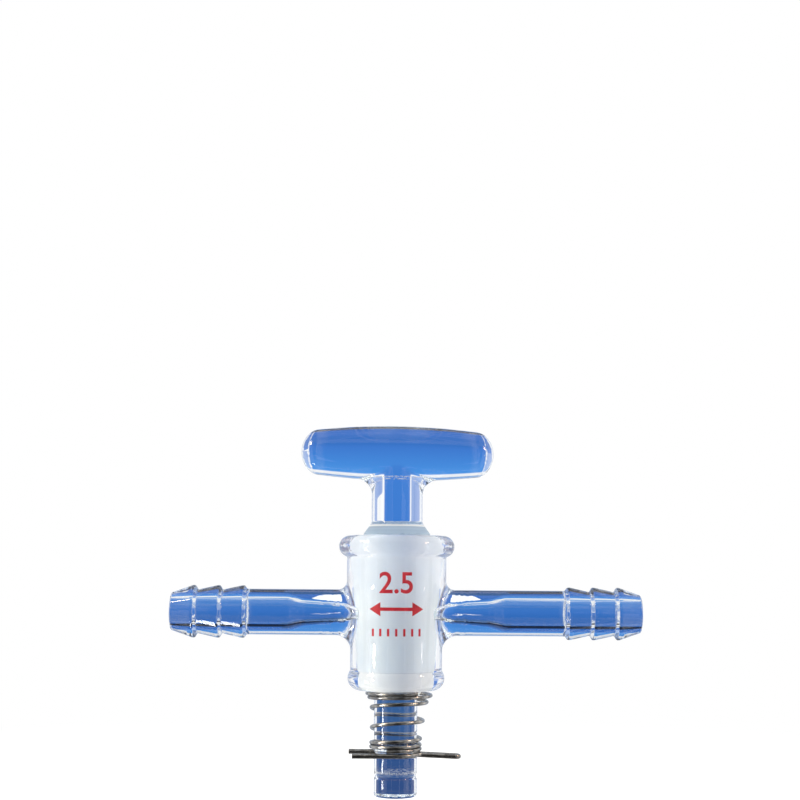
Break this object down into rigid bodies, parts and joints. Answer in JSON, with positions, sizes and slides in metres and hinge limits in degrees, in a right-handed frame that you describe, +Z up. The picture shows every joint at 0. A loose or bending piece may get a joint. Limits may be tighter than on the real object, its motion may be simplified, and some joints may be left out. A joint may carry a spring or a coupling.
{
  "type": "glass stopcock",
  "caption": "All-glass stopcock: a solid ground key with a T-handle turns in a glass barrel between barbed hose arms, held down by a wire spring and clip.",
  "frame": {"origin": "where the arms' axis crosses the key's axis, in the middle of the key's bore", "axes": "+Z up the key's axis to its handle, +X along the arms towards the longer one, +Y across the arms"},
  "size_m": [0.104, 0.0256, 0.0813],
  "materials": {
    "barrel_glass": "clear fire-polished borosilicate glass outside, fine-ground and milky on the seat inside",
    "key_glass": "clear polished borosilicate glass on handle, neck and stem, fine-ground on cone and shoulder",
    "spring_steel": "bright drawn spring steel wire, slightly warm grey",
    "clip_steel": "drawn spring steel wire, duller than the spring",
    "enamel": "fired red enamel print, used only by the flow mark that the visual model adds to the barrel"
  },
  "bodies": {
    "barrel": {"barrel": "barrel_glass", "spring": "spring_steel"},
    "clip": {"retaining_clip": "clip_steel"},
    "plug": {"plug": "key_glass"}
  },
  "joints": [
    {"name": "plug_lift", "type": "slide", "parent": "barrel", "child": "clip", "axis": [0, 0, 1], "range_m": [0, 0.003], "stiffness_N_per_m": 1000, "springref_m": -0.0003, "deforming": ["spring"]},
    {"name": "plug_turn", "type": "hinge", "parent": "clip", "child": "plug", "pos_m": [0, 0, 0], "axis": [0, 0, 1], "continuous": true}
  ]
}
